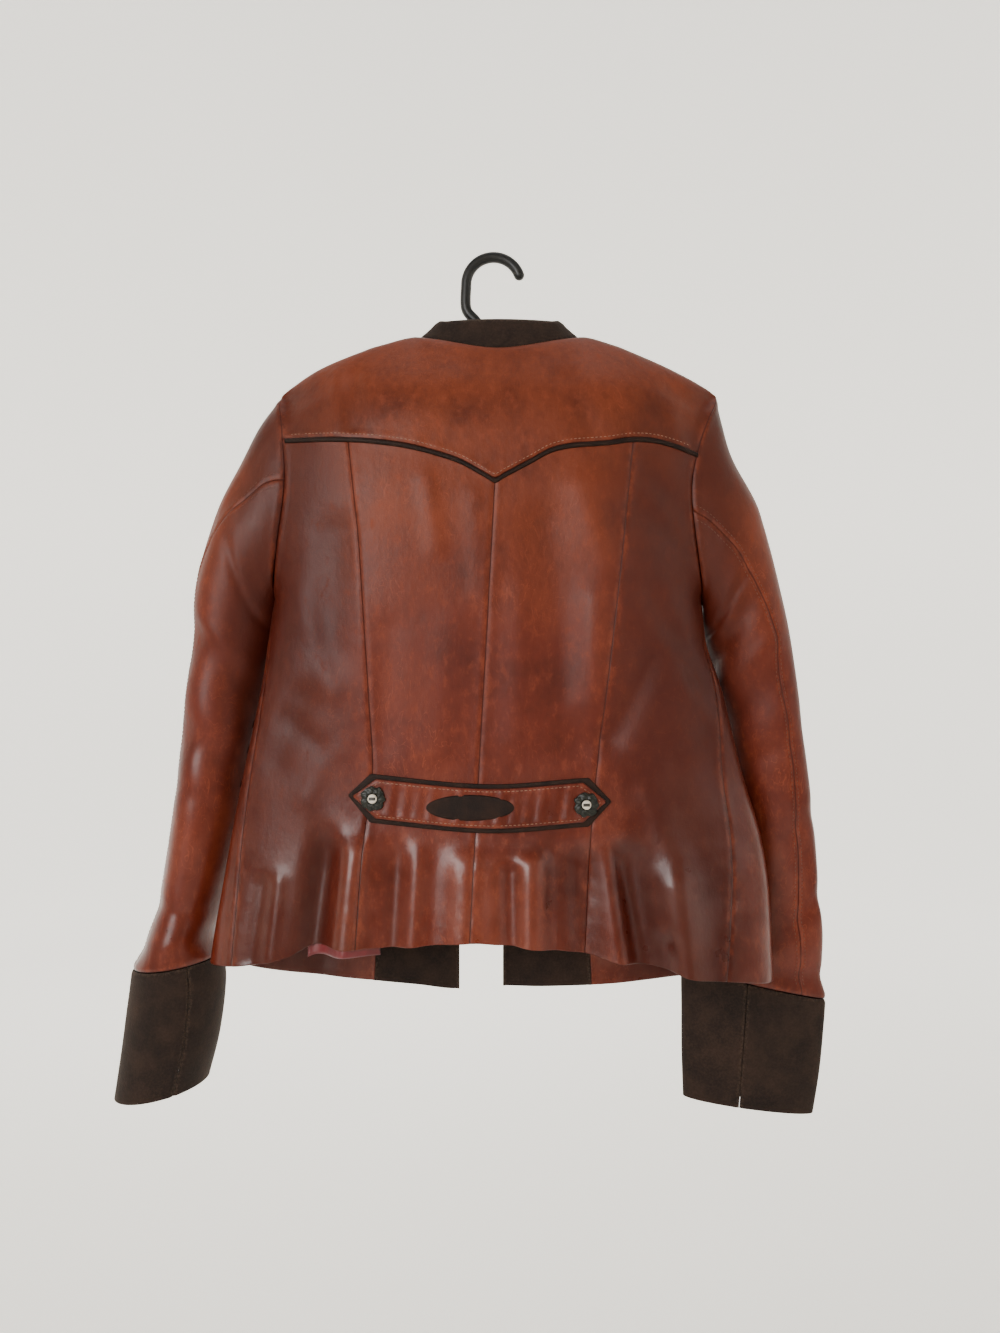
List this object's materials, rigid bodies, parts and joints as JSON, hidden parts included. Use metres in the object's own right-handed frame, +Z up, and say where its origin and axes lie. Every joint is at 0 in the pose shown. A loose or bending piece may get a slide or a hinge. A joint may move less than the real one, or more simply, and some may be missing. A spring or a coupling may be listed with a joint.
{
  "type": "leather jacket on a hanger",
  "caption": "Short worn leather jacket hung on a plain hanger, with suede stand collar, cuffs and front bands, a pointed back yoke and a buttoned half belt.",
  "frame": {"origin": "seat inside the crown of the hanger's hook, where it hangs", "axes": "+Z up, the jacket's back faces -Y, +X towards the wearer's right sleeve"},
  "size_m": [0.6382, 0.1431, 0.7752],
  "materials": {
    "leather": "worn glossy cognac leather",
    "suede": "dark brown suede",
    "trim_leather": "dark brown smooth leather",
    "lining": "red satin lining",
    "horn": "carved horn look, satin",
    "bone": "pale bone look, satin",
    "plastic": "black moulded plastic"
  },
  "bodies": {
    "root": {"back_yoke": "leather", "back_side_left": "leather", "back_center_left": "leather", "back_center_right": "leather", "back_side_right": "leather", "front_left": "leather", "front_right": "leather", "front_band_left": "suede", "front_band_right": "suede", "collar": "suede", "upper_sleeve_left": "leather", "under_sleeve_left": "leather", "upper_sleeve_right": "leather", "under_sleeve_right": "leather", "cuff_left": "suede", "cuff_right": "suede", "yoke_piping": "trim_leather", "belt_underlay": "trim_leather", "belt_face": "leather", "belt_patch": "trim_leather", "button_left": "horn", "button_right": "horn", "button_stud_left": "bone", "button_stud_right": "bone", "lining_back": "lining", "hanger_hook": "plastic", "hanger_arms": "plastic"}
  },
  "joints": []
}
